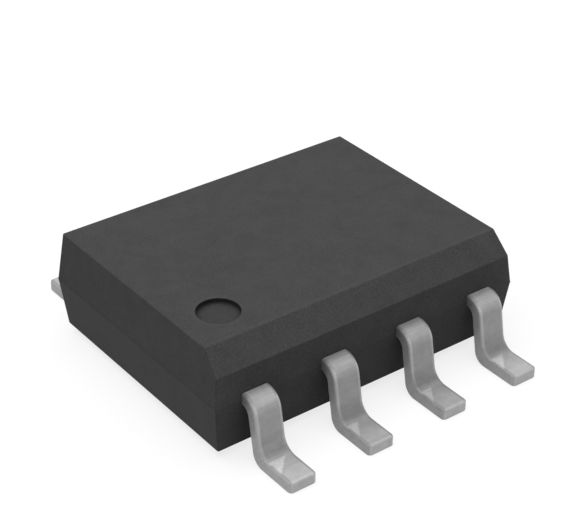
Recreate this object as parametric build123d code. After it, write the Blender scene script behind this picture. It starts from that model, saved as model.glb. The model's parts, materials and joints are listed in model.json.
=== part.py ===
from build123d import *
import os
from math import cos, radians, tan

# A power converter chip in a moulded eight-lead package with an exposed thermal pad.
# Millimetres. +X runs along the rows of leads and +Z is up. The feet stand on Z = 0,
# and the origin is under the middle of the body.

# Lead frame: one stamped strip gives all the leads and the thermal pad
leads_per_side = 4
lead_pitch = 1.27
lead_width = 0.425
strip_thickness = 0.165
strip_bevel = 0.03  # coined off the strip's long edges and off its cut tip

# Gull-wing form of a lead outside the body. The punch leaves the metal thicker in the
# bends, so the inside and the outside of each bend have a radius of their own.
knee_reach = 0.242  # from the body's widest line to the leg's front, at the shoulder
leg_lean = 10.5  # degrees that the leg leans outwards from upright
foot_length = 0.63  # from the leg's front to the tip, along the top of the foot
knee_outer_radius = 0.26
knee_inner_radius = 0.14
heel_inner_radius = 0.22
heel_outer_radius = 0.195

# Moulded body, which is widest at the parting plane, in the middle of the strip
end_margin = 0.621  # from the middle of an end lead to the end of the body
body_width = 3.854
standoff = 0.124  # from the plane of the feet up to the underside
lower_half = 0.745  # underside to parting plane
upper_half = 0.735  # parting plane to top
draft_angle = 6.2  # degrees that the walls lean in from the parting plane
corner_radius = 0.025  # upright corners
rim_radius = 0.02  # edges round the top and the underside
chamfer_in = 0.255  # long chamfer, measured in from the edge of the top
chamfer_drop = 0.306  # long chamfer, measured down from the top

# Round dimple that marks lead 1
dimple_radius = 0.295
dimple_depth = 0.07
dimple_from_end = 0.702  # from the end of the body to the dimple's middle
dimple_from_side = 0.923  # from the side of the body to the dimple's middle

# Part of a lead that the mould compound holds
neck_length = 0.12  # full-width strip from the body's wall to the bond post
post_gap = 0.41  # between two neighbouring bond posts
post_clearance = 0.13  # from the pad's ledge to the tip of a bond post, seen from above
post_corner_cut = 0.05
lock_slot = 0.14  # side of the square hole in the post that the compound fills and locks

# Thermal pad, flush with the underside
pad_end_margin = 0.726  # from the end of the body to the bare face of the pad
pad_side_margin = 0.701  # from the side of the body to the bare face of the pad
pad_ledge = 0.11  # how far the pad's upper step reaches out into the compound
pad_ledge_thickness = 0.08

# Silicon die and the layer that holds it on the pad
attach_thickness = 0.025
attach_margin = 0.06  # squeezed out past the die on each side
attach_corner_cut = 0.08
die_length = 2.1
die_width = 1.5
die_thickness = 0.22

# Bond wires
wire_diameter = 0.036
ball_radius = 0.045
ball_height = 0.026
stitch_length = 0.09  # the wire's end, pressed flat on the bond post
stitch_width = 0.06
stitch_thickness = 0.012
bond_inset = 0.12  # from the die's edge to the middle of a ball
bond_pitch = 0.5  # between two balls in a row
stitch_shift = 0.2  # from the lead's middle line towards the middle of the chip
loop_height = 0.16  # from the bond post up to the top of the loop
landing_run = 0.15  # level distance over which the wire comes down on the post
landing_height = 0.11  # height above the post at which the wire turns down

# Places worked out from the sizes
lead_row = (leads_per_side - 1) * lead_pitch
body_length = lead_row + 2 * end_margin
parting_height = standoff + lower_half
top_height = parting_height + upper_half
post_top = parting_height + strip_thickness / 2
post_bottom = post_top - strip_thickness
pad_length = body_length - 2 * pad_end_margin
pad_width = body_width - 2 * pad_side_margin
post_tip = pad_width / 2 + pad_ledge + post_clearance
post_root = body_width / 2 - neck_length
post_middle = (post_tip + post_root) / 2
pad_top = standoff + strip_thickness
attach_top = pad_top + attach_thickness
die_top = attach_top + die_thickness
lead_numbers = range(1, 2 * leads_per_side + 1)


def inset(height):
    """How far a drafted wall has moved in at a height above or below the parting plane."""
    return height * tan(radians(draft_angle))


def lead_along(number):
    """Place of a lead along the body: the first row runs one way and the second comes back."""
    step = (number - 1) % leads_per_side
    row_start = -lead_row / 2 if number <= leads_per_side else lead_row / 2
    return row_start + step * lead_pitch * (1 if row_start < 0 else -1)


def lead_side(number):
    """-1 for the leads of the front row, 1 for those of the rear row."""
    return -1 if number <= leads_per_side else 1


def block(length, width, low, high):
    """A block centred over the origin between two heights."""
    return Pos(Z=low) * extrude(Rectangle(length, width), high - low)


def lead_profile():
    """Side outline of a bent lead that points towards +Y, from inside the post to the tip."""
    slope = tan(radians(leg_lean))
    root = post_root - strip_bevel
    knee = body_width / 2 + knee_reach
    heel = knee + (post_top - strip_thickness) * slope
    tip = heel + foot_length
    behind = strip_thickness / cos(radians(leg_lean)) - strip_thickness * slope
    upper_points = [(root, post_top), (knee, post_top), (heel, strip_thickness), (tip, strip_thickness)]
    lower_points = [(root, post_bottom), (knee - behind, post_bottom), (heel - behind, 0), (tip, 0)]
    upper = FilletPolyline(*upper_points, radius=[knee_outer_radius, heel_inner_radius])
    lower = FilletPolyline(*lower_points, radius=[knee_inner_radius, heel_outer_radius])
    ends = [Line(upper @ 0, lower @ 0), Line(upper @ 1, lower @ 1)]
    return make_face([upper, lower] + ends)


def bent_strip():
    """The bent lead outside the body, with its neck: the side outline, as wide as the strip."""
    strip = extrude(Plane.YZ * lead_profile(), lead_width / 2, both=True)
    across = strip.faces().sort_by(Axis.X)
    tip_face = strip.faces().sort_by(Axis.Y)[-1]
    tip_rims = tip_face.edges().filter_by(Axis.X)
    return chamfer(across[0].edges() + across[-1].edges() + tip_rims, strip_bevel)


def bond_post():
    """The wide flat end of a lead inside the body, with the hole that the compound locks in."""
    outline = Rectangle(lead_pitch - post_gap, post_root - post_tip)
    outline = chamfer(outline.vertices(), post_corner_cut) - Rectangle(lock_slot, lock_slot)
    return Pos(0, post_middle, post_bottom) * extrude(outline, strip_thickness)


def lead(number):
    """One lead: bond post, neck, shoulder, leg and foot."""
    blank = bond_post() + bent_strip()
    turn = 0 if lead_side(number) > 0 else 180
    return Pos(X=lead_along(number)) * Rot(Z=turn) * blank


def thermal_pad():
    """The die's metal plate, with a bare lower face and a wider step that the compound holds."""
    ledge_low = pad_top - pad_ledge_thickness
    bare = block(pad_length, pad_width, standoff, ledge_low)
    ledge = block(pad_length + 2 * pad_ledge, pad_width + 2 * pad_ledge, ledge_low, pad_top)
    return bare + ledge


def die_attach():
    """The thin layer of glue under the die, squeezed out a little all round."""
    length = die_length + 2 * attach_margin
    width = die_width + 2 * attach_margin
    outline = Rectangle(length, width)
    outline = chamfer(outline.vertices(), attach_corner_cut)
    return Pos(Z=pad_top) * extrude(outline, attach_thickness)


def die():
    """The silicon chip on its glue layer."""
    return block(die_length, die_width, attach_top, die_top)


def ball_place(number):
    """Middle of a wire's ball on the die."""
    along = lead_along(number) / lead_pitch * bond_pitch
    across = lead_side(number) * (die_width / 2 - bond_inset)
    return Vector(along, across, die_top)


def stitch_place(number):
    """Middle of a wire's stitch on its bond post, on the side nearer to the die."""
    along = lead_along(number)
    shift = stitch_shift if along < 0 else -stitch_shift
    return Vector(along + shift, lead_side(number) * post_middle, post_top)


def wire_heading(number):
    """Level direction in which a wire leaves the die for its bond post."""
    span = stitch_place(number) - ball_place(number)
    return Vector(span.X, span.Y, 0).normalized()


def wire_path(number):
    """Straight up from the ball, over the die's edge, and down into the post."""
    ball = ball_place(number)
    stitch = stitch_place(number)
    start = ball + Vector(0, 0, ball_height / 2)
    peak = Vector(ball.X, ball.Y, post_top + loop_height)
    turn = stitch - wire_heading(number) * landing_run + Vector(0, 0, landing_height)
    end = stitch + (stitch - turn).normalized() * wire_diameter
    return Polyline(start, peak, turn, end)


def bond_wire(number, its_lead):
    """A wire with its flattened ball on the die and its stitch on the bond post."""
    path = wire_path(number)
    start = Plane(origin=path @ 0, z_dir=path % 0)
    wire = sweep(start * Circle(wire_diameter / 2), path=path, transition=Transition.RIGHT)
    ball = Pos(ball_place(number)) * extrude(Circle(ball_radius), ball_height)
    post = Plane(origin=stitch_place(number), x_dir=wire_heading(number), z_dir=(0, 0, 1))
    stitch = extrude(post * Rectangle(stitch_length, stitch_width), stitch_thickness)
    return (wire - its_lead) + ball + stitch


def body_half(height):
    """One half of the body, standing with its widest face on the ground plane."""
    half = extrude(Rectangle(body_length, body_width), height, taper=draft_angle)
    corners = half.edges().group_by(Axis.Z)[1]
    return fillet(corners, corner_radius)


def chamfer_cutter():
    """The wedge that the long chamfer takes off the front edge of the top."""
    top_edge = -(body_width / 2 - inset(upper_half))
    wall_at_drop = -(body_width / 2 - inset(upper_half - chamfer_drop))
    slope = chamfer_drop / (top_edge + chamfer_in - wall_at_drop)
    over = chamfer_in
    low_point = (wall_at_drop - over, top_height - chamfer_drop - over * slope)
    high_point = (top_edge + chamfer_in + over, top_height + over * slope)
    outer_point = (low_point[0], high_point[1])
    wedge = make_face(Polyline(low_point, high_point, outer_point, close=True))
    return extrude(Plane.YZ * wedge, body_length, both=True)


def dimple_cutter():
    """The round dimple in the top, over lead 1."""
    along = -(body_length / 2 - dimple_from_end)
    across = -(body_width / 2 - dimple_from_side)
    return Pos(along, across, top_height) * extrude(Circle(dimple_radius), -dimple_depth)


def body_form():
    """The outside of the moulded body."""
    upper = Pos(Z=parting_height) * body_half(upper_half)
    lower = Pos(Z=parting_height) * Rot(X=180) * body_half(lower_half)
    form = upper + lower
    form -= chamfer_cutter()
    rims = form.faces().sort_by(Axis.Z)[0].edges() + form.faces().sort_by(Axis.Z)[-1].edges()
    return fillet(rims, rim_radius) - dimple_cutter()


def mould_body(held):
    """The compound, cast round everything that it holds."""
    body = body_form()
    for piece in held:
        body -= piece
    return body


def build():
    """All the pieces by name."""
    pieces = {f"lead_{number}": lead(number) for number in lead_numbers}
    pieces["thermal_pad"] = thermal_pad()
    pieces["die_attach"] = die_attach()
    pieces["die"] = die()
    for number in lead_numbers:
        pieces[f"bond_wire_{number}"] = bond_wire(number, pieces[f"lead_{number}"])
    pieces["mould_body"] = mould_body(list(pieces.values()))
    return pieces


os.makedirs("parts", exist_ok=True)
for name, piece in build().items():
    export_step(piece, f"parts/{name}.step")
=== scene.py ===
# %% [markdown]
# # A converter chip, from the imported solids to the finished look
# The chip is about 5 mm long: a dark moulded body, eight tin-plated leads bent like gull
# wings, and a bare metal pad underneath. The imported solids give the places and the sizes.
# This lesson adds what they lack: rounded edges, the mould's parting flash, and finishes.

import json
import math

import bmesh
import bpy
from mathutils import Matrix, Vector

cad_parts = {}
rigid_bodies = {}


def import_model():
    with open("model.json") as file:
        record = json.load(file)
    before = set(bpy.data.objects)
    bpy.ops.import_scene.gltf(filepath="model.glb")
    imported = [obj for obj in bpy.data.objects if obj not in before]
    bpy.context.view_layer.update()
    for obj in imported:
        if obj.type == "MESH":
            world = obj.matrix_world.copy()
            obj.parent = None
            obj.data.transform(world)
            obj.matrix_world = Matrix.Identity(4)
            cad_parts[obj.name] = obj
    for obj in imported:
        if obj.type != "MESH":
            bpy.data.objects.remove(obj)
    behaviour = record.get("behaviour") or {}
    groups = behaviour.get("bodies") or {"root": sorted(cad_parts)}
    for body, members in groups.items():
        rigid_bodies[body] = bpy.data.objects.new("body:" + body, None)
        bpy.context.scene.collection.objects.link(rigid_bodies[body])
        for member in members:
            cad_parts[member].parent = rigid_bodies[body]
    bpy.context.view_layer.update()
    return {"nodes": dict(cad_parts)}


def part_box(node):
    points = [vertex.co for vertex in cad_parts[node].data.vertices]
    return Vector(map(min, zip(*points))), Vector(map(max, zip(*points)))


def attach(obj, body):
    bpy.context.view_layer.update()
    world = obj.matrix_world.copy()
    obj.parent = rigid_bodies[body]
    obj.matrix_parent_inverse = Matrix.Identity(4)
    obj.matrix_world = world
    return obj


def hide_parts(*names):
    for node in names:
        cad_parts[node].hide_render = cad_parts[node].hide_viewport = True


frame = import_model()
bpy.context.scene.view_settings.view_transform = "Standard"
MM = 0.001  # a millimetre in metres, the unit of the frame
PI = math.pi


def new_object(name, data):
    made = bpy.data.objects.new(name, data)
    bpy.context.scene.collection.objects.link(made)
    return made


# %% [markdown]
# ## Sizes
# Sizes typed again would fall behind a change in the solids, so what their boxes tell is
# read, and only the rest, such as radii and slopes, is written. Pieces are made in
# millimetres and shrunk at the end, because cuts and merges fail on tiny coordinates.

# %% Sizes read from the solids
def box_in_mm(name):
    """Low and high corner of a solid's box."""
    low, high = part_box(name)
    return low / MM, high / MM


body_low, body_high = box_in_mm("mould_body")
half_length, half_width = body_high.x, body_high.y
underside, top = body_low.z, body_high.z
pad_low, pad_high = box_in_mm("thermal_pad")
strip_thickness = pad_high.z - pad_low.z  # one strip gives the pad and all the leads
lead_low, lead_high = box_in_mm("lead_5")  # a lead that points to +Y
shoulder_top, tip_reach = lead_high.z, lead_high.y
parting_height = shoulder_top - strip_thickness / 2
post_length = lead_high.x - lead_low.x
lead_names = [f"lead_{number}" for number in range(1, 9)]
lead_along = {name: sum(corner.x for corner in box_in_mm(name)) / 2 for name in lead_names}
lead_side = {name: 1 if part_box(name)[1].y > 0 else -1 for name in lead_names}
print("strip", round(strip_thickness, 3), "parting plane at", round(parting_height, 3))

# %% [markdown]
# ## Camera
# A picture of a box in perspective holds the camera that took it: its edges run to three
# vanishing points, and the four leads stand at a known pitch. A camera could be placed by
# eye, but these numbers come from a least-squares fit of those edges.

# %% Camera
PICTURE_WIDTH = 585  # pixels
FOCAL_PIXELS = 1701.6
SENSOR = 36.0  # millimetres, across the long side of the picture
CAMERA_YAW = math.radians(-37.57)
CAMERA_PITCH = math.radians(31.88)
CAMERA_ROLL = math.radians(0.64)
CAMERA_DISTANCE = 23.854 * MM
CAMERA_SHIFT = (0.114 * MM, 0.338 * MM)  # to the right and up, in the picture's plane
CAMERA_AIM = Vector((0, 0, 0.7965 * MM))


def camera_axes(yaw, pitch, roll):
    """Right, up and backward directions of the camera."""
    level = math.cos(pitch)
    back = Vector((math.sin(yaw) * level, -math.cos(yaw) * level, math.sin(pitch)))
    right = Vector((math.cos(yaw), math.sin(yaw), 0))
    up = back.cross(right)
    rolled_right = math.cos(roll) * right + math.sin(roll) * up
    rolled_up = math.cos(roll) * up - math.sin(roll) * right
    return rolled_right, rolled_up, back


def make_camera():
    data = bpy.data.cameras.new("camera")
    data.sensor_width = SENSOR
    data.lens = FOCAL_PIXELS / PICTURE_WIDTH * SENSOR
    data.clip_start = CAMERA_DISTANCE / 50
    data.clip_end = CAMERA_DISTANCE * 100
    camera = new_object("camera", data)
    right, up, back = camera_axes(CAMERA_YAW, CAMERA_PITCH, CAMERA_ROLL)
    place = CAMERA_AIM + back * CAMERA_DISTANCE + right * CAMERA_SHIFT[0] + up * CAMERA_SHIFT[1]
    turn = Matrix((right, up, back)).transposed().to_4x4()
    camera.matrix_world = Matrix.Translation(place) @ turn
    bpy.context.scene.camera = camera
    return camera


camera = make_camera()
print("lens", round(camera.data.lens, 1), "mm")

# %% [markdown]
# ## Node helpers
# Every finish here is a graph of nodes. It could be wired by hand in the Shader Editor, but
# in code it can be read and made again. It reads best when each node is one call that names
# its kind, its settings and what feeds its sockets.


# %% One node, one call
def add(tree, kind, feeds=None, **settings):
    """Adds a node. A feed is a number, a colour or the output socket of another node."""
    made = tree.nodes.new(kind)
    for name, value in settings.items():
        setattr(made, name, value)
    for name, value in (feeds or {}).items():
        socket = made.inputs[name]
        if isinstance(value, bpy.types.NodeSocket):
            tree.links.new(value, socket)
        else:
            socket.default_value = value
    return made


def maths(tree, operation, *values):
    """One Math node, as its output socket."""
    return add(tree, "ShaderNodeMath", dict(enumerate(values)), operation=operation).outputs[0]


def product(tree, level, *others):
    """Several levels multiplied."""
    for other in others:
        level = maths(tree, "MULTIPLY", level, other)
    return level


def mixture(tree, first, second, share=0.5):
    """Two values added up, where the share is the second one's."""
    return maths(tree, "ADD", product(tree, first, 1 - share), product(tree, second, share))


# %% [markdown]
# Tones change with the place: along a lead, or outwards from the dimple. A painted picture
# would need an unwrapped surface and blur up close. Here a mask says where a tone holds,
# and a colour ramp turns a distance into a level.


# %% Ranges, masks and ramps
def spread(tree, value, low, high, to_low, to_high):
    """Maps a value from one range to another, clamped."""
    feeds = {"Value": value, "From Min": low, "From Max": high, "To Min": to_low, "To Max": to_high}
    return add(tree, "ShaderNodeMapRange", feeds).outputs["Result"]


def mask(tree, value, start, full):
    """0 before the start, 1 from full on, and a straight slope between."""
    return spread(tree, value, start, full, 0.0, 1.0)


def factor(tree, where, at_full):
    """A multiplier that is 1 where the mask is 0 and another value where it is 1."""
    return spread(tree, where, 0.0, 1.0, 1.0, at_full)


def only_where(tree, where, level):
    """A multiplier that is 1 where the mask is 0 and the level where it is 1."""
    return maths(tree, "MULTIPLY_ADD", maths(tree, "SUBTRACT", level, 1.0), where, 1.0)


def towards(tree, where, first, second):
    """The first level where the mask is 0 and the second where it is 1."""
    step = maths(tree, "SUBTRACT", second, first)
    return maths(tree, "ADD", first, product(tree, where, step))


def grey(level, tint=(0, 0, 0)):
    """A near-neutral colour."""
    return (level + tint[0], level + tint[1], level + tint[2], 1)


def by_place(tree, place, stops):
    """A level that changes along a line: pairs of a place in millimetres and a level."""
    start, end = stops[0][0], stops[-1][0]
    peak = max(level for _, level in stops)
    ramp = add(tree, "ShaderNodeValToRGB", {"Fac": mask(tree, place, start * MM, end * MM)})
    elements = ramp.color_ramp.elements
    elements[0].color = grey(stops[0][1] / peak)
    elements[1].color = grey(stops[-1][1] / peak)
    for where, level in stops[1:-1]:
        elements.new((where - start) / (end - start)).color = grey(level / peak)
    return product(tree, ramp.outputs["Color"], peak)


# %% [markdown]
# Where a point is and which way it faces come in the object's own axes, so a pattern stays
# on the piece when the camera or the chip moves.


# %% Surface readings and noise
def object_place(tree, stretch=(1, 1, 1)):
    """Object coordinates, stretched so that a pattern can run long in one direction."""
    coordinates = add(tree, "ShaderNodeTexCoord").outputs["Object"]
    feeds = {"Vector": coordinates, "Scale": stretch}
    return add(tree, "ShaderNodeMapping", feeds).outputs["Vector"]


def axes_of(tree, vector):
    """X, Y and Z of a place or a direction."""
    return add(tree, "ShaderNodeSeparateXYZ", {"Vector": vector}).outputs


def facing(tree):
    """X, Y and Z of the direction in which the surface faces."""
    return axes_of(tree, add(tree, "ShaderNodeTexCoord").outputs["Normal"])


def noise(tree, place, size, detail=3.0, roughness=0.5):
    """Noise from 0 to 1 with blotches of about that size, in metres."""
    feeds = {"Vector": place, "Scale": 1 / size, "Detail": detail, "Roughness": roughness}
    return add(tree, "ShaderNodeTexNoise", feeds).outputs["Fac"]


# %% Colours and shaders
def new_material(name):
    """An empty material with its output node."""
    material = bpy.data.materials.new(name)
    material.use_nodes = True
    tree = material.node_tree
    tree.nodes.clear()
    output = add(tree, "ShaderNodeOutputMaterial")
    return material, tree, output


def blend_colours(tree, share, first, second):
    """A colour between two, by a share from 0 to 1."""
    return add(tree, "ShaderNodeMix", {0: share, 6: first, 7: second}, data_type="RGBA").outputs[2]


def shaded(tree, colour, level):
    """A colour made darker or lighter by a level."""
    feeds = {0: colour, "Scale": level}
    return add(tree, "ShaderNodeVectorMath", feeds, operation="SCALE").outputs[0]


def relief(tree, height, strength, depth):
    """Fine bumps, which turn the light on the surface and leave its shape alone."""
    feeds = {"Height": height, "Strength": strength, "Distance": depth}
    return add(tree, "ShaderNodeBump", feeds).outputs["Normal"]


def surface(tree, output, feeds):
    """The shader that every finish of the chip ends in."""
    shader = add(tree, "ShaderNodeBsdfPrincipled", feeds)
    tree.links.new(shader.outputs[0], output.inputs["Surface"])


# %% [markdown]
# ## Stage and light
# The chip stands on a white table under broad, soft light. It could come from area lamps,
# but one sun with a wide angle and an even world are simpler and light every side alike.

# %% World and lamps
AMBIENT = 0.35
KEY_STRENGTH = 0.70 * PI
KEY_SPREAD = math.radians(75)
KEY_DIRECTION = Vector((-0.12, 0.08, 0.99))


def seen_directly(tree):
    """1 for what the camera sees, mirrored or not, and 0 for light on its way."""
    rays = add(tree, "ShaderNodeLightPath").outputs
    seen = maths(tree, "MAXIMUM", rays["Is Camera Ray"], rays["Is Glossy Ray"])
    return maths(tree, "MAXIMUM", seen, rays["Is Transmission Ray"])


def make_world():
    world = bpy.data.worlds.new("studio")
    world.use_nodes = True
    tree = world.node_tree
    tree.nodes.clear()
    strength = spread(tree, seen_directly(tree), 0, 1, AMBIENT, 1.0)
    background = add(tree, "ShaderNodeBackground", {"Color": grey(1.0), "Strength": strength})
    add(tree, "ShaderNodeOutputWorld", {"Surface": background.outputs[0]})
    bpy.context.scene.world = world


def make_sun():
    data = bpy.data.lights.new("key", "SUN")
    data.energy = KEY_STRENGTH
    data.angle = KEY_SPREAD
    lamp = new_object("key", data)
    lamp.rotation_mode = "QUATERNION"
    lamp.rotation_quaternion = KEY_DIRECTION.normalized().to_track_quat("Z", "Y")


make_world()
make_sun()
print("ambient", AMBIENT, "key", round(KEY_STRENGTH / PI, 2), "of a white card's light")

# %% [markdown]
# ## Table
# A table that is simply white would throw so much light on the walls that they lose their
# depth. With Light Path the camera and reflections see a white table, and the chip gets
# the light of a darker one.

# %% Table
FLOOR_HALF = 400 * MM
FLOOR_BOUNCE = 0.5  # what the table throws back on the chip
FLOOR_GLOW = 0.78  # share of the table's white that no shadow takes away
FLOOR_LIT = 0.24


def floor_material():
    material, tree, output = new_material("floor_white")
    seen = seen_directly(tree)
    colour = blend_colours(tree, seen, grey(FLOOR_BOUNCE), grey(FLOOR_LIT))
    lit = add(tree, "ShaderNodeBsdfDiffuse", {"Color": colour})
    glow = add(tree, "ShaderNodeEmission", {"Strength": product(tree, seen, FLOOR_GLOW)})
    both = add(tree, "ShaderNodeAddShader", {0: lit.outputs[0], 1: glow.outputs[0]})
    tree.links.new(both.outputs[0], output.inputs["Surface"])
    return material


def make_floor():
    mesh = bpy.data.meshes.new("floor")
    corners = [(-1, -1), (1, -1), (1, 1), (-1, 1)]
    places = [(x * FLOOR_HALF, y * FLOOR_HALF, 0) for x, y in corners]
    mesh.from_pydata(places, [], [(0, 1, 2, 3)])
    mesh.materials.append(floor_material())
    new_object("floor", mesh)


make_floor()
print("table", round(2 * FLOOR_HALF, 2), "m wide")

# %% [markdown]
# ## Mould compound
# The body is epoxy resin filled with fine glass beads and soot. It comes out of a steel
# mould with spark-eroded walls, so it is matt, dark and faintly speckled. A repeated
# picture would show its repeats. Noise of two scales, grain and mottle, has none.

# %% Mould compound: grain
COMPOUND_DARK = grey(0.0425)
COMPOUND_LIGHT = grey(0.0775, (0.0, 0.0, 0.001))
COMPOUND_ROUGHNESS = (0.55, 0.75)
COMPOUND_GLOSS = 0.1
GRAIN_SIZE = 0.020 * MM
GRAIN_BUMP = 0.5
GRAIN_DEPTH = 0.0016 * MM
MOTTLE_SIZE = 0.3 * MM
MOTTLE_SHARE = 0.25
NOISE_MIDDLE = (0.35, 0.65)  # most values of a noise lie between these
NOISE_REACH = (0.3, 0.7)  # and nearly all of them between these

# %% [markdown]
# Over the grain lie painted light and shade: walls and top each a little darker, long walls
# lighter towards the upright corners, a painted highlight on the chamfer's edge, and painted
# shade in the dimple with a painted highlight round its rim. An end wall gets darker towards
# +Y. Each belongs to a place on the body, so a mask and a ramp by place put it there.

# %% Mould compound: levels of the painted light and shade
# Painted shade: the top and the walls each a little darker by the way they face.
TOP_PAINTED_SHADE = 0.89
WALL_PAINTED_SHADE = 0.86
WALL_TURN = (0.2, 0.6)  # how far a face looks up or down where the walls' painted shade ends
TOP_TURN = (0.85, 0.98)  # and where the top's painted shade begins
SQUARE_ON = (0.8, 0.95)  # how far a wall looks along an axis to count as square to it
PAINTED_LIGHT_FROM_TOP = (0.12, 0.10)  # millimetres under the top, where the painted light of the dimple and the chamfer begins
# Pairs of a place in millimetres and a level there.
END_TONE = ((-1.9, 1.0), (0.0, 0.96), (1.0, 0.91), (1.9, 0.86))  # along an end wall, towards +Y
# Painted light: the long walls lighter towards the upright corners.
CORNER_PAINTED_LIGHT = ((2.0, 1.0), (2.2, 1.07), (2.4, 1.22), (2.6, 1.25))  # from a long wall's middle
# A painted highlight along the chamfer's upper edge.
CHAMFER_EDGE_HIGHLIGHT = ((-0.02, 1.0), (0.005, 1.10), (0.035, 1.08), (0.07, 1.0))  # in from its edge
# Painted shade in the dimple, deepest on its wall, and a painted highlight round its rim.
DIMPLE_PAINTED_SHADE_AND_HIGHLIGHT = (
    (0.0, 0.86), (0.20, 0.84), (0.262, 0.66), (0.285, 0.38), (0.297, 0.42),
    (0.303, 0.95), (0.312, 1.13), (0.335, 1.07), (0.37, 1.0),
)  # from the dimple's middle

# %% Mould compound: places of the walls, the chamfer and the dimple
DRAFT = math.tan(math.radians(6.2))  # slope of the walls
FLASH_OUT = 0.004  # how far the flash stands out from the walls
CHAMFER_IN = 0.255
DIMPLE_FROM_END = 0.702
DIMPLE_FROM_SIDE = 0.923
dimple_centre = (-(half_length - DIMPLE_FROM_END), -(half_width - DIMPLE_FROM_SIDE))


def wall_inset(height):
    """How far a wall is inside the body's widest line at a height."""
    if height == parting_height:
        return 0.0
    return FLASH_OUT + abs(height - parting_height) * DRAFT


def wall_reach(height):
    """How far a long wall is from the body's middle plane at a height."""
    return half_width - wall_inset(height)


chamfer_edge = -(wall_reach(top) - CHAMFER_IN)
print("dimple at", [round(v, 3) for v in dimple_centre], "chamfer from", round(chamfer_edge, 3))


# %% Mould compound: painted light and shade
def from_dimple(tree, axes):
    """Distance from the dimple's middle, seen from above."""
    flat = add(tree, "ShaderNodeCombineXYZ", {"X": axes["X"], "Y": axes["Y"]}).outputs[0]
    middle = (dimple_centre[0] * MM, dimple_centre[1] * MM, 0)
    feeds = {0: flat, 1: middle}
    return add(tree, "ShaderNodeVectorMath", feeds, operation="DISTANCE").outputs["Value"]


def resin_painted_light_and_tone(tree, place):
    """Painted light and shade on the resin, by face, at the dimple, chamfer and corners, and along
    an end wall.
    """
    axes = axes_of(tree, place)
    normal = facing(tree)
    upward = maths(tree, "ABSOLUTE", normal["Z"])
    walls = spread(tree, upward, *WALL_TURN, WALL_PAINTED_SHADE, 1.0)
    flats = spread(tree, upward, *TOP_TURN, 1.0, TOP_PAINTED_SHADE)

    start, full = [(top - depth) * MM for depth in PAINTED_LIGHT_FROM_TOP]
    near_top = mask(tree, axes["Z"], start, full)
    dimple = only_where(tree, near_top, by_place(tree, from_dimple(tree, axes), DIMPLE_PAINTED_SHADE_AND_HIGHLIGHT))
    inwards = maths(tree, "SUBTRACT", axes["Y"], chamfer_edge * MM)
    chamfer = only_where(tree, near_top, by_place(tree, inwards, CHAMFER_EDGE_HIGHLIGHT))

    on_end = mask(tree, maths(tree, "ABSOLUTE", normal["X"]), *SQUARE_ON)
    end = only_where(tree, on_end, by_place(tree, axes["Y"], END_TONE))
    on_long = mask(tree, maths(tree, "ABSOLUTE", normal["Y"]), *SQUARE_ON)
    from_middle = maths(tree, "ABSOLUTE", axes["X"])
    corner = only_where(tree, on_long, by_place(tree, from_middle, CORNER_PAINTED_LIGHT))
    return product(tree, walls, flats, dimple, chamfer, end, corner)


# %% Mould compound: material
def mould_compound():
    material, tree, output = new_material("filled_resin")
    place = object_place(tree)
    grain = noise(tree, place, GRAIN_SIZE, detail=2.0, roughness=0.7)
    mottle = noise(tree, place, MOTTLE_SIZE, detail=4.0, roughness=0.65)
    share = mask(tree, mixture(tree, grain, mottle, MOTTLE_SHARE), *NOISE_MIDDLE)
    colour = blend_colours(tree, share, COMPOUND_DARK, COMPOUND_LIGHT)
    surface(tree, output, {
        "Base Color": shaded(tree, colour, resin_painted_light_and_tone(tree, place)),
        "Roughness": spread(tree, grain, *NOISE_REACH, *COMPOUND_ROUGHNESS),
        "Specular IOR Level": COMPOUND_GLOSS,
        "Normal": relief(tree, grain, GRAIN_BUMP, GRAIN_DEPTH),
    })
    return material


compound = mould_compound()
print("filled resin:", len(compound.node_tree.nodes), "nodes")

# %% [markdown]
# ## Tin plating
# The leads are copper alloy under a few thousandths of a millimetre of matt tin. Matt tin
# is crystalline: it scatters light almost like grey paint, with a soft sheen on top, so
# the shader is only a little metallic. Grain and the lines of the tools break the grey up,
# and over them lie painted light and shade. A lead could be unwrapped and painted, but one
# number follows it from the body to the tip, the distance outwards minus the height, and
# colour ramps turn that into tones. Each lead also carries its own share of painted light,
# so some leads look lighter and others darker.

# %% Tin plating: where a point is on its lead
LEAD_PITCH = 1.27 * MM


def across_lead(tree, place):
    """Distance to the left of the lead's own middle line, seen from outside."""
    shifted = maths(tree, "ADD", place["X"], 2 * LEAD_PITCH)
    within = maths(tree, "FLOORED_MODULO", shifted, LEAD_PITCH)
    across = maths(tree, "SUBTRACT", within, LEAD_PITCH / 2)
    return product(tree, across, maths(tree, "SIGN", place["Y"]))


def lead_readings(tree):
    """Where a point is, which way it faces, and its lead's share of painted light."""
    place = axes_of(tree, object_place(tree))
    normal = facing(tree)
    out = maths(tree, "ABSOLUTE", place["Y"])
    across = across_lead(tree, place)
    return {
        "x": place["X"],
        "out": out,  # from the middle of the chip
        "run": maths(tree, "SUBTRACT", out, place["Z"]),  # grows from the body to the tip
        "across": across,
        "off_middle": maths(tree, "ABSOLUTE", across),
        "up": normal["Z"],
        "sideways": maths(tree, "ABSOLUTE", normal["X"]),
        "painted_light": add(tree, "ShaderNodeAttribute", attribute_name="painted_light").outputs["Fac"],
    }


# %% [markdown]
# Tin has clouds and a fine grain of its own, and the punch and the die drew fine lines
# across it in the bends. Lines are noise that is short along the lead and long across it.

# %% Tin plating: grain and tool lines
TIN_DARK = grey(0.40)
TIN_LIGHT = grey(0.50)
TIN_CLOUD = 0.12 * MM
TIN_GRAIN = 0.012 * MM
TOOL_LINE = 0.035 * MM
LINE_STRETCH = 0.05  # lines are 20 times as long as they are wide
# Pairs of a place along the lead, in millimetres, and a level there, as in all that follow.
TOOL_LINE_SHARE = (
    (0.95, 0.4), (1.05, 0.8), (1.25, 0.9), (1.40, 0.3), (1.50, 0.12), (1.85, 0.10),
    (1.95, 0.5), (2.25, 0.5), (2.4, 0.2),
)


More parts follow.
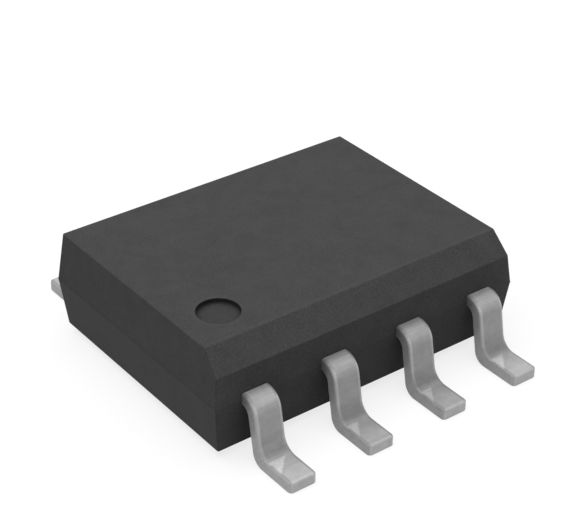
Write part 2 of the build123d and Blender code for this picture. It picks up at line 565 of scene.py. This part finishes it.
def tin_colour(tree, at, grain):
    """A colour between two greys, by clouds, grain and tool lines."""
    clouds = noise(tree, object_place(tree), TIN_CLOUD)
    flat_x = product(tree, at["x"], LINE_STRETCH)
    line_place = add(tree, "ShaderNodeCombineXYZ", {"X": flat_x, "Y": at["run"]}).outputs[0]
    lines = maths(tree, "SUBTRACT", noise(tree, line_place, TOOL_LINE, detail=2.0), 0.5)
    toned = product(tree, lines, by_place(tree, at["run"], TOOL_LINE_SHARE))
    mottle = mixture(tree, clouds, grain)
    share = mask(tree, maths(tree, "ADD", mottle, toned), *NOISE_MIDDLE)
    return blend_colours(tree, share, TIN_DARK, TIN_LIGHT)


# %% [markdown]
# Along the lead the bends get painted light and shade: a painted highlight on the knee and
# painted shade in the heel. The sides get painted shade, and next to the body more painted
# shade, where the body and the next leads keep the light off.

# %% Tin plating: faces and sides
# Painted light and shade along the lead: a painted highlight on the knee, painted shade in the
# heel.
FACE_PAINTED_LIGHT = (
    (0.96, 0.65), (1.10, 0.60), (1.19, 0.82), (1.27, 0.92), (1.35, 0.83), (1.45, 0.77),
    (1.80, 0.785), (1.93, 0.72), (2.00, 0.59), (2.14, 0.40), (2.21, 0.49), (2.28, 0.57),
    (2.34, 0.68), (2.46, 0.76), (2.65, 0.86), (2.80, 0.83),
)
PAINTED_LIGHT_GAIN = (
    (1.0, 0.32), (1.1, 0.16), (1.3, 0.08), (1.9, 0.06),
    (2.0, 0.17), (2.14, 0.33), (2.22, 0.13), (2.34, 0.34), (2.8, 0.30),
)  # what a full share of painted light adds
# Painted shade on the sides, and more of it next to the body.
SIDE_PAINTED_SHADE = 0.76
SIDE_GAIN = 0.25
SIDE_TURN = (0.5, 0.9)  # how far a face looks along X to count as a side
BODY_PAINTED_SHADE = 0.50
BODY_SHADE_REACH = 0.16  # millimetres out from the body


def painted_light_on_lead(tree, at, on_side):
    """Painted light and shade on the faces, and on the sides where the mask is 1."""
    gain = maths(tree, "MULTIPLY_ADD", at["painted_light"], by_place(tree, at["run"], PAINTED_LIGHT_GAIN), 1.0)
    face = product(tree, by_place(tree, at["run"], FACE_PAINTED_LIGHT), gain)
    wall, shade_end = half_width * MM, (half_width + BODY_SHADE_REACH) * MM
    body_shade = spread(tree, at["out"], wall, shade_end, BODY_PAINTED_SHADE, 1.0)
    side = spread(tree, at["painted_light"], 0.0, 1.0, SIDE_PAINTED_SHADE, SIDE_PAINTED_SHADE * (1 + SIDE_GAIN))
    return towards(tree, on_side, face, product(tree, side, body_shade))


# %% [markdown]
# Edges get painted light of their own: a painted highlight beside them down the leg, and
# painted shade along the foot and round the knee. The distance from the lead's middle line
# finds them, where the mesh's own sharpness would find every edge.

# %% Tin plating: edges
# A painted highlight beside the edges down the leg, painted shade beside them along the foot.
EDGE_PAINTED_LIGHT = ((1.18, 1.0), (1.36, 1.45), (2.05, 1.42), (2.28, 0.95), (2.36, 0.66), (2.8, 0.62))
EDGE_START = (0.160 * MM, 0.174 * MM)  # from the lead's middle line
EDGE_END = (0.190 * MM, 0.208 * MM)
# Painted shade on the rounding at the knee.
KNEE_EDGE_PAINTED_SHADE = ((1.0, 0.60), (1.16, 0.62), (1.28, 0.90), (1.36, 1.0))
KNEE_EDGE_PLACE = (0.150 * MM, 0.185 * MM)
KNEE_EDGE_ON_SIDE = 0.5  # how much of the knee's painted shade the sides get


def painted_edge_light(tree, at, on_side):
    """Two multipliers of painted light: for the band beside the edges, and for the rounding at the
    knee.
    """
    off_middle = at["off_middle"]
    band = mask(tree, off_middle, *EDGE_START)
    band = product(tree, band, spread(tree, off_middle, *EDGE_END, 1.0, 0.0))
    band_level = only_where(tree, band, by_place(tree, at["run"], EDGE_PAINTED_LIGHT))
    rounded = mask(tree, off_middle, *KNEE_EDGE_PLACE)
    rounded = product(tree, rounded, factor(tree, on_side, KNEE_EDGE_ON_SIDE))
    knee_level = only_where(tree, rounded, by_place(tree, at["run"], KNEE_EDGE_PAINTED_SHADE))
    return band_level, knee_level


# %% [markdown]
# A painted reflection lies on the foot, wide beside the heel and narrow towards the tip,
# and there the tin is also a little smoother. A start and a slanted limit give that shape,
# and the lead's share of painted light moves the limit.

# %% Tin plating: the painted reflection on the foot
# A painted reflection on the foot, where the tin is also smoother.
SPOT_PAINTED_REFLECTION = 1.62
SPOT_GLOSS = 0.15  # what the spot takes off the roughness
SPOT_START = 2.45 * MM  # from the middle of the chip
SPOT_LENGTHS = (0.26 * MM, 0.18 * MM)  # on a lead with no and with a full share of painted light
SPOT_SIDES = (0.01 * MM, -0.08 * MM)  # from the lead's middle line
SPOT_TAPER = 0.18 * MM
SPOT_BLUR = 0.018 * MM
SPOT_TURN = (0.90, 0.97)  # how far a face looks up to belong to the foot's top


def painted_reflection_spot(tree, at):
    """1 on the spot of painted reflection and 0 elsewhere."""
    length = spread(tree, at["painted_light"], 0.0, 1.0, *SPOT_LENGTHS)
    side = spread(tree, at["painted_light"], 0.0, 1.0, *SPOT_SIDES)
    along = maths(tree, "DIVIDE", maths(tree, "SUBTRACT", at["out"], SPOT_START), length)
    limit = maths(tree, "ADD", side, product(tree, along, SPOT_TAPER))
    inside = mask(tree, maths(tree, "SUBTRACT", at["across"], limit), -SPOT_BLUR, SPOT_BLUR)
    begun = mask(tree, at["out"], SPOT_START - SPOT_BLUR, SPOT_START + SPOT_BLUR)
    return product(tree, inside, begun, mask(tree, at["up"], *SPOT_TURN))


# %% [markdown]
# The tip was cut off the frame, so its face is bare. It gets painted light, and its two corners
# painted highlights.
# Places here are measured back from the tip.

# %% Tin plating: the cut tip
# Painted light on the cut tip and painted highlights on its two corners.
TIP_PAINTED_LIGHT = 1.17
TIP_START = (0.03, 0.005)  # millimetres before the tip, from the first to the full tone
TIP_CORNER_HIGHLIGHT = 1.18
CORNER_START = (0.07, 0.04)
CORNER_PLACE = (0.16 * MM, 0.18 * MM)  # from the lead's middle line
CORNER_TURN = (0.1, 0.5)  # how far a face looks up where the painted highlight ends


def before_tip(tree, at, places):
    """0 further back than the first place, 1 nearer to the tip than the second."""
    start, full = [(tip_reach - place) * MM for place in places]
    return mask(tree, at["out"], start, full)


def with_tip(tree, at, shade):
    """The tone, with painted light on the cut tip and painted highlights on its two corners."""
    shade = towards(tree, before_tip(tree, at, TIP_START), shade, TIP_PAINTED_LIGHT)
    near, beside = before_tip(tree, at, CORNER_START), mask(tree, at["off_middle"], *CORNER_PLACE)
    corner = product(tree, near, beside, spread(tree, at["up"], *CORNER_TURN, 1.0, 0.0))
    return product(tree, shade, factor(tree, corner, TIP_CORNER_HIGHLIGHT))


# %% Tin plating: material
TIN_METALLIC = 0.15
TIN_ROUGHNESS = (0.36, 0.46)
TIN_BUMP = 0.4
TIN_DEPTH = 0.0005 * MM


def tin_plating():
    material, tree, output = new_material("tin_plating")
    at = lead_readings(tree)
    on_side = mask(tree, at["sideways"], *SIDE_TURN)
    spot = painted_reflection_spot(tree, at)
    shade = painted_light_on_lead(tree, at, on_side)
    shade = product(tree, shade, *painted_edge_light(tree, at, on_side), factor(tree, spot, SPOT_PAINTED_REFLECTION))
    shade = with_tip(tree, at, shade)

    grain = noise(tree, object_place(tree), TIN_GRAIN, detail=2.0)
    rough = spread(tree, grain, *NOISE_REACH, *TIN_ROUGHNESS)
    smoother = product(tree, spot, SPOT_GLOSS)
    surface(tree, output, {
        "Base Color": shaded(tree, tin_colour(tree, at, grain), shade),
        "Metallic": TIN_METALLIC,
        "Roughness": maths(tree, "SUBTRACT", rough, smoother),
        "Normal": relief(tree, grain, TIN_BUMP, TIN_DEPTH),
    })
    return material


tin = tin_plating()
print("tin plating:", len(tin.node_tree.nodes), "nodes")

# %% [markdown]
# ## Leads
# A lead is a strip of sheet metal, stamped flat and then bent by a punch and a die. It
# could be modelled by hand, but its bends have four different radii and would be hard to
# change. So only the corners of its side outline are written, each with its radius.

# %% Side outline of a lead
LEG_LEAN = math.radians(10.5)
FOOT_LENGTH = 0.63
KNEE_RADII = {"outer": 0.26, "inner": 0.14}
HEEL_RADII = {"inner": 0.22, "outer": 0.195}
NECK_LENGTH = 0.12  # from the body's widest line in to the bond post
ROOT_OVERLAP = 0.05  # of the strip with the post
post_root = half_width - NECK_LENGTH
post_tip = lead_low.y


def lead_outline():
    """Corners of the side outline, outwards and up, each with the radius of its bend."""
    slope = math.tan(LEG_LEAN)
    shoulder_bottom = shoulder_top - strip_thickness
    heel = tip_reach - FOOT_LENGTH
    knee = heel - shoulder_bottom * slope
    behind = strip_thickness / math.cos(LEG_LEAN) - strip_thickness * slope
    root = post_root - ROOT_OVERLAP
    return [
        ((root, shoulder_top), 0),
        ((knee, shoulder_top), KNEE_RADII["outer"]),
        ((heel, strip_thickness), HEEL_RADII["inner"]),
        ((tip_reach, strip_thickness), 0),
        ((tip_reach, 0), 0),
        ((heel - behind, 0), HEEL_RADII["outer"]),
        ((knee - behind, shoulder_bottom), KNEE_RADII["inner"]),
        ((root, shoulder_bottom), 0),
    ]


def outline_mesh():
    """The outline as a ring of edges, with its radii in an attribute."""
    corners = lead_outline()
    count = len(corners)
    mesh = bpy.data.meshes.new("lead_outline")
    ring = [(i, (i + 1) % count) for i in range(count)]
    mesh.from_pydata([(*corner, 0) for corner, _ in corners], ring, [])
    radii = mesh.attributes.new("bend_radius", "FLOAT", "POINT")
    for item, (_, radius) in zip(radii.data, corners):
        item.value = radius
    mesh.materials.append(tin)
    return mesh


outline = outline_mesh()
print("outline:", len(outline.vertices), "corners")

# %% [markdown]
# ## Geometry Nodes helpers
# Geometry Nodes round the outline's corners, fill it and thicken it. Eight leads differ
# only in their place and their share of painted light, so one set of trees with named
# inputs makes them all. The strip and the post inside the body are both flat outlines that
# get a thickness.

# %% Geometry Nodes helpers: shapes
MERGE = 1e-5  # points closer than this, in millimetres, are one point


def geometry_tree(name, inputs):
    """A tree with geometry in, geometry out and the named inputs."""
    tree = bpy.data.node_groups.new(name, "GeometryNodeTree")
    tree.interface.new_socket("Geometry", in_out="INPUT", socket_type="NodeSocketGeometry")
    for label, kind in inputs:
        tree.interface.new_socket(label, in_out="INPUT", socket_type=f"NodeSocket{kind}")
    tree.interface.new_socket("Geometry", in_out="OUTPUT", socket_type="NodeSocketGeometry")
    return tree, add(tree, "NodeGroupInput").outputs


def joined(tree, kind, socket, *parts, **settings):
    """A node with several links into one socket."""
    node = add(tree, kind, **settings)
    for part in parts:
        tree.links.new(part, node.inputs[socket])
    return node.outputs[0]


def moved(tree, geometry, **steps):
    """Geometry with a Translation, a Rotation or both."""
    return add(tree, "GeometryNodeTransform", {"Geometry": geometry, **steps}).outputs[0]


def slab(tree, curve, thickness, fill):
    """Fills a flat closed curve and thickens it to both sides."""
    flat = add(tree, "GeometryNodeFillCurve", {"Curve": curve}, mode=fill).outputs["Mesh"]
    down = add(tree, "ShaderNodeCombineXYZ", {"Z": product(tree, thickness, -0.5)}).outputs[0]
    flat = moved(tree, flat, Translation=down)
    feeds = {"Mesh": flat, "Offset Scale": thickness, "Individual": False}
    walls = add(tree, "GeometryNodeExtrudeMesh", feeds, mode="FACES").outputs["Mesh"]
    back = add(tree, "GeometryNodeFlipFaces", {"Mesh": flat}).outputs["Mesh"]
    whole = joined(tree, "GeometryNodeJoinGeometry", "Geometry", walls, back)
    feeds = {"Geometry": whole, "Distance": MERGE}
    return add(tree, "GeometryNodeMergeByDistance", feeds).outputs[0]


# %% Geometry Nodes helpers: inputs and outputs
def stored(tree, geometry, name, value, domain):
    """Writes a number under a name on every edge or point."""
    feeds = {"Geometry": geometry, "Name": name, "Value": value}
    kinds = {"data_type": "FLOAT", "domain": domain}
    return add(tree, "GeometryNodeStoreNamedAttribute", feeds, **kinds).outputs[0]


def deliver(tree, geometry, material):
    """Ends a tree with real geometry that has its material."""
    real = add(tree, "GeometryNodeRealizeInstances", {"Geometry": geometry}).outputs[0]
    feeds = {"Geometry": real, "Material": material}
    dressed = add(tree, "GeometryNodeSetMaterial", feeds).outputs[0]
    add(tree, "NodeGroupOutput", {"Geometry": dressed})
    return tree


def set_input(modifier, name, value):
    """Sets a tree's named input on a modifier by the socket's identifier."""
    for item in modifier.node_group.interface.items_tree:
        if item.item_type == "SOCKET" and item.in_out == "INPUT" and item.name == name:
            modifier[item.identifier] = value
            return
    raise KeyError(name)


# %% [markdown]
# ## Bent strip
# This is the part of a lead that shows: shoulder, leg and foot. An extrusion gives its
# shape, and as the cut tip has two rounded upright corners, the tree gives those edges a
# bevel weight for the Bevel modifier that follows.

# %% Tree for the bent strip
SIDE_SHARE = 0.49  # of the width: only the sides lie further from the middle


def strip_tree():
    """The side outline, rounded at its bends, becomes a strip that points to +Y."""
    tree, given = geometry_tree("bent_strip", (
        ("Width", "Float"), ("Steps in a bend", "Int"), ("Tip", "Float"), ("Plating", "Material"),
    ))
    width = given["Width"]
    curve = add(tree, "GeometryNodeMeshToCurve", {"Mesh": given["Geometry"]}).outputs[0]
    radius = add(tree, "GeometryNodeInputNamedAttribute", {"Name": "bend_radius"}).outputs[0]
    feeds = {"Curve": curve, "Radius": radius, "Count": given["Steps in a bend"]}
    rounded = add(tree, "GeometryNodeFilletCurve", feeds, mode="POLY").outputs[0]
    lying = slab(tree, rounded, width, "NGONS")
    strip = moved(tree, lying, Rotation=(PI / 2, 0, PI / 2))

    place = axes_of(tree, add(tree, "GeometryNodeInputPosition").outputs[0])
    near_tip = maths(tree, "SUBTRACT", given["Tip"], MERGE)
    at_tip = maths(tree, "GREATER_THAN", place["Y"], near_tip)
    off_middle, near_side = maths(tree, "ABSOLUTE", place["X"]), product(tree, width, SIDE_SHARE)
    corner = product(tree, at_tip, maths(tree, "GREATER_THAN", off_middle, near_side))
    marked = stored(tree, strip, "bevel_weight_edge", corner, "EDGE")
    return deliver(tree, marked, given["Plating"])


tree_for_strips = strip_tree()
print("bent strip:", len(tree_for_strips.nodes), "nodes")

# %% [markdown]
# ## Rounded edges
# A punch rounds the edges on the side where it enters the sheet and leaves them sharp on
# the side where it comes out. Here the rounded side faces up and outwards. One bevel for
# all edges would lose that, so a tree looks at which way an edge faces before it says how
# much to round it.

# %% Tree for the rounding of the edges
UP_AND_OUT = 0.3  # of an edge's direction: above this it is on the punch's side


def rim_tree():
    """Marks the sharp edges: fully where they face up or outwards, partly elsewhere."""
    tree, given = geometry_tree("rim_weights", (
        ("Least angle", "Float"), ("Burr side", "Float"), ("Plating", "Material"),
    ))
    angle = add(tree, "GeometryNodeInputMeshEdgeAngle").outputs["Unsigned Angle"]
    sharp = maths(tree, "GREATER_THAN", angle, given["Least angle"])
    axes = axes_of(tree, add(tree, "GeometryNodeInputNormal").outputs[0])
    outward = maths(tree, "ADD", axes["Y"], axes["Z"])
    on_punch_side = maths(tree, "GREATER_THAN", outward, UP_AND_OUT)
    share = maths(tree, "MAXIMUM", on_punch_side, given["Burr side"])
    weight = product(tree, sharp, share)
    marked = stored(tree, given["Geometry"], "bevel_weight_edge", weight, "EDGE")
    return deliver(tree, marked, given["Plating"])


tree_for_rims = rim_tree()
print("rounding of the edges:", len(tree_for_rims.nodes), "nodes")

# %% [markdown]
# ## Bond post
# Inside the body a lead widens to a post with cut corners and a hole, which the resin
# fills, so the lead can't be pulled out. It never shows, but the body is cut with the
# leads' own shapes, so it has to be there. A boolean union joins it to the strip.

# %% Tree for the bond post and the lead's place
def post_outline(tree, given):
    """The post seen from above: a rectangle with cut corners, and the hole in it."""
    feeds = {"Width": given["Post length"], "Height": given["Post width"]}
    outer = add(tree, "GeometryNodeCurvePrimitiveQuadrilateral", feeds).outputs[0]
    feeds = {"Curve": outer, "Radius": given["Corner cut"], "Count": 1}
    outer = add(tree, "GeometryNodeFilletCurve", feeds, mode="POLY").outputs[0]
    feeds = {"Width": given["Lock hole"], "Height": given["Lock hole"]}
    hole = add(tree, "GeometryNodeCurvePrimitiveQuadrilateral", feeds).outputs[0]
    return joined(tree, "GeometryNodeJoinGeometry", "Geometry", outer, hole)


def post_tree():
    """Adds the wide end that the resin holds, and puts the lead in its row."""
    tree, given = geometry_tree("bond_post", (
        ("Post length", "Float"), ("Post width", "Float"), ("Corner cut", "Float"),
        ("Lock hole", "Float"), ("Thickness", "Float"), ("Post middle", "Vector"),
        ("Place", "Vector"), ("Turn", "Float"), ("Painted light", "Float"), ("Plating", "Material"),
    ))
    post = slab(tree, post_outline(tree, given), given["Thickness"], "TRIANGLES")
    post = moved(tree, post, Translation=given["Post middle"])
    kinds = {"operation": "UNION", "solver": "EXACT"}
    lead = joined(tree, "GeometryNodeMeshBoolean", "Mesh 2", given["Geometry"], post, **kinds)
    turn = add(tree, "ShaderNodeCombineXYZ", {"Z": given["Turn"]}).outputs[0]
    placed = moved(tree, lead, Translation=given["Place"], Rotation=turn)
    lit_lead = stored(tree, placed, "painted_light", given["Painted light"], "POINT")
    return deliver(tree, lit_lead, given["Plating"])


tree_for_posts = post_tree()
print("bond post:", len(tree_for_posts.nodes), "nodes")

# %% [markdown]
# ## Last steps of a piece
# A finished piece is a plain mesh, shaded smoothly over its small radii. That alone would
# make the flats look swollen, so a Weighted Normal modifier lets the large faces decide.

# %% Last steps of a piece
FLATS_FIRST = 90  # how strongly the large faces decide, up to 100


def to_plain_mesh(built):
    """Replaces an object's mesh by what its modifiers make of it, and removes them."""
    graph = bpy.context.evaluated_depsgraph_get()
    mesh = bpy.data.meshes.new_from_object(built.evaluated_get(graph))
    built.modifiers.clear()
    built.data = mesh
    mesh.name = built.name


def smooth(built, angle):
    """Shades smoothly, but keeps flats flat and edges sharper than the angle sharp."""
    built.data.shade_smooth()
    built.data.set_sharp_from_angle(angle=angle)
    weighted = built.modifiers.new("flats_first", "WEIGHTED_NORMAL")
    weighted.keep_sharp = True
    weighted.weight = FLATS_FIRST
    to_plain_mesh(built)


def settle(built, solid):
    """Shrinks a piece to metres and puts it in the place of its solid."""
    built.data.transform(Matrix.Scale(MM, 4))
    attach(built, "root")
    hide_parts(solid)


# %% [markdown]
# ## Eight leads
# Each lead is the outline after five modifiers: the strip, the bevel of its tip, the
# weights of its edges, their bevel, and the post, whose edges stay sharp. The front row is
# the rear row turned by half a turn.

# %% Sizes of the leads
LEAD_WIDTH = 0.425
POST_CORNER_CUT = 0.05
LOCK_HOLE = 0.14
BEND_STEPS = 14
TIP_ROUNDING = 0.06
EDGE_ROUNDING = 0.038
BURR_SIDE = 0.35  # share of the rounding on the other side
EDGE_STEPS = 5
EDGE_ANGLE = math.radians(40)
# Each lead's share of painted light, which makes it lighter or darker.
lead_painted_light = dict(zip(lead_names, (1.0, 0.1, 0.0, 0.45, 0.3, 0.8, 0.1, 0.6)))


# %% Eight leads
def add_tree(built, tree, values):
    """Puts a tree on an object as a modifier, with its inputs set."""
    modifier = built.modifiers.new(tree.name, "NODES")
    modifier.node_group = tree
    for name, value in values.items():
        set_input(modifier, name, value)


def add_bevel(built, name, width, steps):
    """Rounds the edges that have a bevel weight."""
    modifier = built.modifiers.new(name, "BEVEL")
    modifier.limit_method = "WEIGHT"
    modifier.width = width
    modifier.segments = steps
    modifier.use_clamp_overlap = False


def make_lead(name):
    """A lead in its row, as a plain mesh in millimetres."""
    built = new_object(f"{name}_plated", outline.copy())
    add_tree(built, tree_for_strips, {
        "Width": LEAD_WIDTH, "Steps in a bend": BEND_STEPS, "Tip": tip_reach, "Plating": tin,
    })
    add_bevel(built, "tip_corners", TIP_ROUNDING, EDGE_STEPS)
    rim_values = {"Least angle": EDGE_ANGLE, "Burr side": BURR_SIDE, "Plating": tin}
    add_tree(built, tree_for_rims, rim_values)
    add_bevel(built, "edges", EDGE_ROUNDING, EDGE_STEPS)
    add_tree(built, tree_for_posts, {
        "Post length": post_length,
        "Post width": post_root - post_tip,
        "Corner cut": POST_CORNER_CUT, "Lock hole": LOCK_HOLE, "Thickness": strip_thickness,
        "Post middle": (0, (post_root + post_tip) / 2, parting_height),
        "Place": (lead_along[name], 0, 0),
        "Turn": 0.0 if lead_side[name] > 0 else PI,
        "Painted light": lead_painted_light[name], "Plating": tin,
    })
    to_plain_mesh(built)
    smooth(built, EDGE_ANGLE)
    return built


leads = {name: make_lead(name) for name in lead_names}
print("a lead has", len(leads["lead_1"].data.polygons), "faces")

# %% [markdown]
# ## Moulded body
# Two steel halves close on the strip, and resin fills them. So every wall leans in from the
# parting plane, every edge has a small radius, and a hair of flash stays where the halves
# met. A box could be cut to this form, but a section across the body, drawn once and given
# its two ends, keeps every edge where it is written.

# %% Section across the body
CHAMFER_DROP = 0.306
FLASH_HALF = 0.006  # half the height of the flash
# Faces of an end wall from the underside up, each by the numbers of its section's corners.
END_BELTS = ((0, 1, 9, 10), (1, 2, 8, 9), (2, 3, 7, 8), (3, 4, 5, 6, 7))


def body_section():
    """Corners of the section as Y and Z, anticlockwise seen from +X."""
    below, above = parting_height - FLASH_HALF, parting_height + FLASH_HALF
    chamfer_low = top - CHAMFER_DROP
    rear = [(wall_reach(z), z) for z in (underside, below, parting_height, above, top)]
    front_heights = (chamfer_low, above, parting_height, below, underside)
    front = [(-wall_reach(z), z) for z in front_heights]
    return rear + [(chamfer_edge, top)] + front


# %% [markdown]
# Upright corners have the full radius, the rims round the top and the underside a smaller
# one, and the chamfer's two edges look nearly sharp. Three bevels would meet badly in the
# corners, so each edge has a bevel weight, and one Bevel modifier rounds them all.

# %% The body before rounding
RIM_SHARE = 0.8  # of the full radius
CHAMFER_SHARE = 0.35
LEAST_FOLD = math.radians(25)  # edges flatter than this stay as they are


def rounding_share(edge):
    """The bevel weight of an edge: its share of the full radius."""
    first, second = edge.verts
    low, high = sorted((first.co.z, second.co.z))
    level = high - low < MERGE
    on_flash = level and abs(low - parting_height) < 2 * FLASH_HALF
    if on_flash or not edge.calc_face_angle() > LEAST_FOLD:
        return 0.0
    along = abs(first.co.x - second.co.x) > half_length
    if along and high > parting_height and first.co.y < 0:
        return CHAMFER_SHARE
    return RIM_SHARE if level else 1.0


def body_form():
    """The body as a closed form with sharp edges, and with their bevel weights."""
    section = body_section()
    form = bmesh.new()
    weight = form.edges.layers.float.new("bevel_weight_edge")
    ends = {}
    for sign in (-1, 1):
        places = [(sign * (half_length - wall_inset(z)), y, z) for y, z in section]
        ends[sign] = [form.verts.new(place) for place in places]
    count = len(section)
    for i in range(count):
        j = (i + 1) % count
        form.faces.new((ends[-1][i], ends[-1][j], ends[1][j], ends[1][i]))
    for belt in END_BELTS:
        form.faces.new([ends[1][i] for i in belt])
        form.faces.new([ends[-1][i] for i in reversed(belt)])
    bmesh.ops.recalc_face_normals(form, faces=form.faces)
    for edge in form.edges:
        edge[weight] = rounding_share(edge)
    return form


# %% [markdown]
# ## Dimple
# A smooth pin in the mould makes a shallow dimple over the first lead. A cylinder could cut
# it, but a real one has small radii at its rim and its floor that catch the light. So the
# cutter is a profile with those two arcs, turned as on a lathe.

# %% Dimple
DIMPLE_RADIUS = 0.295
DIMPLE_DEPTH = 0.07
DIMPLE_RIM = 0.008
DIMPLE_FLOOR_ROUNDING = 0.02
DIMPLE_STEPS = 96
RIM_STEPS = 4


def dimple_profile():
    """Radius and height of the dimple's cutter, from above the top down to its floor."""
    rim, floor = [], []
    for step in range(RIM_STEPS + 1):
        turn = PI / 2 * step / RIM_STEPS
        inner, lower = 1 - math.sin(turn), 1 - math.cos(turn)
        rim.append((DIMPLE_RADIUS + DIMPLE_RIM * inner, top - DIMPLE_RIM * lower))
        reach = DIMPLE_RADIUS - DIMPLE_FLOOR_ROUNDING * lower
        floor.append((reach, top - DIMPLE_DEPTH + DIMPLE_FLOOR_ROUNDING * inner))
    return [(DIMPLE_RADIUS + DIMPLE_RIM, top + DIMPLE_DEPTH)] + rim + floor


def mesh_of(form, name):
    """A form as a mesh, and the form given back."""
    mesh = bpy.data.meshes.new(name)
    form.to_mesh(mesh)
    form.free()
    return mesh


def turned(name, profile, centre):
    """A closed solid of revolution about an upright line through the centre."""
    form = bmesh.new()
    rings = []
    for reach, height in profile:
        ring = []
        for step in range(DIMPLE_STEPS):
            turn = 2 * PI * step / DIMPLE_STEPS
            x, y = centre[0] + reach * math.cos(turn), centre[1] + reach * math.sin(turn)
            ring.append(form.verts.new((x, y, height)))
        rings.append(ring)
    for upper, lower in zip(rings, rings[1:]):
        for i in range(DIMPLE_STEPS):
            j = (i + 1) % DIMPLE_STEPS
            form.faces.new((upper[i], lower[i], lower[j], upper[j]))
    form.faces.new(rings[0])
    form.faces.new(list(reversed(rings[-1])))
    bmesh.ops.recalc_face_normals(form, faces=form.faces)
    return mesh_of(form, name)


# %% [markdown]
# ## Casting round what the body holds
# Resin closes round all that it holds, so its openings are right by themselves when the
# body is cut with those very shapes. The carried-over solids are loose triangles, so a
# copy of each is joined up before it cuts.


# %% Copies to cut with, and the cut
def merged_copy(node_name):
    """A copy of a solid's mesh with its loose triangles joined, to cut with."""
    form = bmesh.new()
    form.from_mesh(frame["nodes"][node_name].data)
    bmesh.ops.scale(form, vec=Vector((1, 1, 1)) / MM, verts=form.verts)
    bmesh.ops.remove_doubles(form, verts=form.verts, dist=MERGE)
    return mesh_of(form, f"cut_{node_name}")


def cut(built, meshes):
    """Takes closed meshes off an object, all in one go, because some of them lie flush."""
    tools = bpy.data.collections.new("tools")
    bpy.context.scene.collection.children.link(tools)
    for mesh in meshes:
        tools.objects.link(bpy.data.objects.new("tool", mesh))
    modifier = built.modifiers.new("cut", "BOOLEAN")
    modifier.operation = "DIFFERENCE"
    modifier.solver = "EXACT"
    modifier.operand_type = "COLLECTION"
    modifier.collection = tools
    to_plain_mesh(built)
    for tool in list(tools.objects):
        bpy.data.objects.remove(tool)
    bpy.data.collections.remove(tools)


# %% Cast the body
CORNER_ROUNDING = 0.024  # the full radius
WALL_ANGLE = math.radians(30)
wire_names = [f"bond_wire_{number}" for number in range(1, 9)]
held_solids = ["thermal_pad", "die_attach", "die"] + wire_names


def make_body():
    built = new_object("mould_body_cast", mesh_of(body_form(), "mould_body_cast"))
    add_bevel(built, "rounding", CORNER_ROUNDING, RIM_STEPS)
    to_plain_mesh(built)
    tools = [turned("dimple", dimple_profile(), dimple_centre)]
    tools += [merged_copy(name) for name in held_solids]
    tools += [lead.data.copy() for lead in leads.values()]
    cut(built, tools)
    built.data.materials.clear()
    built.data.materials.append(compound)
    smooth(built, WALL_ANGLE)
    return built


body = make_body()
print("the body has", len(body.data.polygons), "faces")
settle(body, "mould_body")
for name, lead in leads.items():
    settle(lead, name)

# %% [markdown]
# ## Pad
# The bare pad underneath is rolled sheet under the same matt tin. Its solid is right as it
# is, so it only gets a finish: soft clouds, and faint lines of noise along the rolling.

# %% Pad
PAD_DARK, PAD_LIGHT = grey(0.56), grey(0.66)
PAD_LINE = 0.03 * MM
PAD_STRETCH = (0.04, 1, 1)
PAD_CLOUD = 0.5 * MM
PAD_METALLIC = 0.5
PAD_ROUGHNESS = (0.42, 0.55)
PAD_BUMP = 0.3


def rolled_pad():
    material, tree, output = new_material("rolled_pad")
    lines = noise(tree, object_place(tree, PAD_STRETCH), PAD_LINE)
    clouds = noise(tree, object_place(tree), PAD_CLOUD)
    share = mask(tree, mixture(tree, lines, clouds), *NOISE_MIDDLE)
    surface(tree, output, {
        "Base Color": blend_colours(tree, share, PAD_DARK, PAD_LIGHT),
        "Metallic": PAD_METALLIC,
        "Roughness": spread(tree, lines, *NOISE_REACH, *PAD_ROUGHNESS),
        "Normal": relief(tree, lines, PAD_BUMP, TIN_DEPTH),
    })
    return material


inner_finishes = {"thermal_pad": rolled_pad()}
print("pad between", PAD_DARK[0], "and", PAD_LIGHT[0])

# %% [markdown]
# ## Die, glue and wires
# Inside the body are a polished silicon die, the silver-filled glue under it, and drawn
# copper wires. The body hides them, so they share one simple recipe.

# %% Die, glue and wires
ROUGHNESS_SWING = 0.15  # how far the mottle takes the roughness up and down


def plain_finish(name, dark, light, size, metallic, roughness):
    """Two colours in a fine mottle, with roughness that follows it."""
    material, tree, output = new_material(name)
    mottle = noise(tree, object_place(tree), size)
    share = mask(tree, mottle, *NOISE_MIDDLE)
    low, high = roughness * (1 - ROUGHNESS_SWING), roughness * (1 + ROUGHNESS_SWING)
    surface(tree, output, {
        "Base Color": blend_colours(tree, share, dark, light),
        "Metallic": metallic,
        "Roughness": spread(tree, mottle, *NOISE_REACH, low, high),
    })
    return material


inner_finishes["die"] = plain_finish(
    "silicon", dark=grey(0.10, (0, 0, 0.01)), light=grey(0.14, (0, 0, 0.02)),
    size=0.1 * MM, metallic=0.3, roughness=0.15,
)
inner_finishes["die_attach"] = plain_finish(
    "silver_glue", dark=grey(0.5), light=grey(0.62),
    size=0.02 * MM, metallic=0.6, roughness=0.5,
)
wire_copper = plain_finish(
    "drawn_copper", dark=(0.70, 0.36, 0.22, 1), light=(0.78, 0.44, 0.28, 1),
    size=0.02 * MM, metallic=1.0, roughness=0.25,
)
inner_finishes.update(dict.fromkeys(wire_names, wire_copper))
for name, material in inner_finishes.items():
    mesh = frame["nodes"][name].data
    mesh.materials.clear()
    mesh.materials.append(material)
print("finishes given to", len(inner_finishes), "solids that stay")
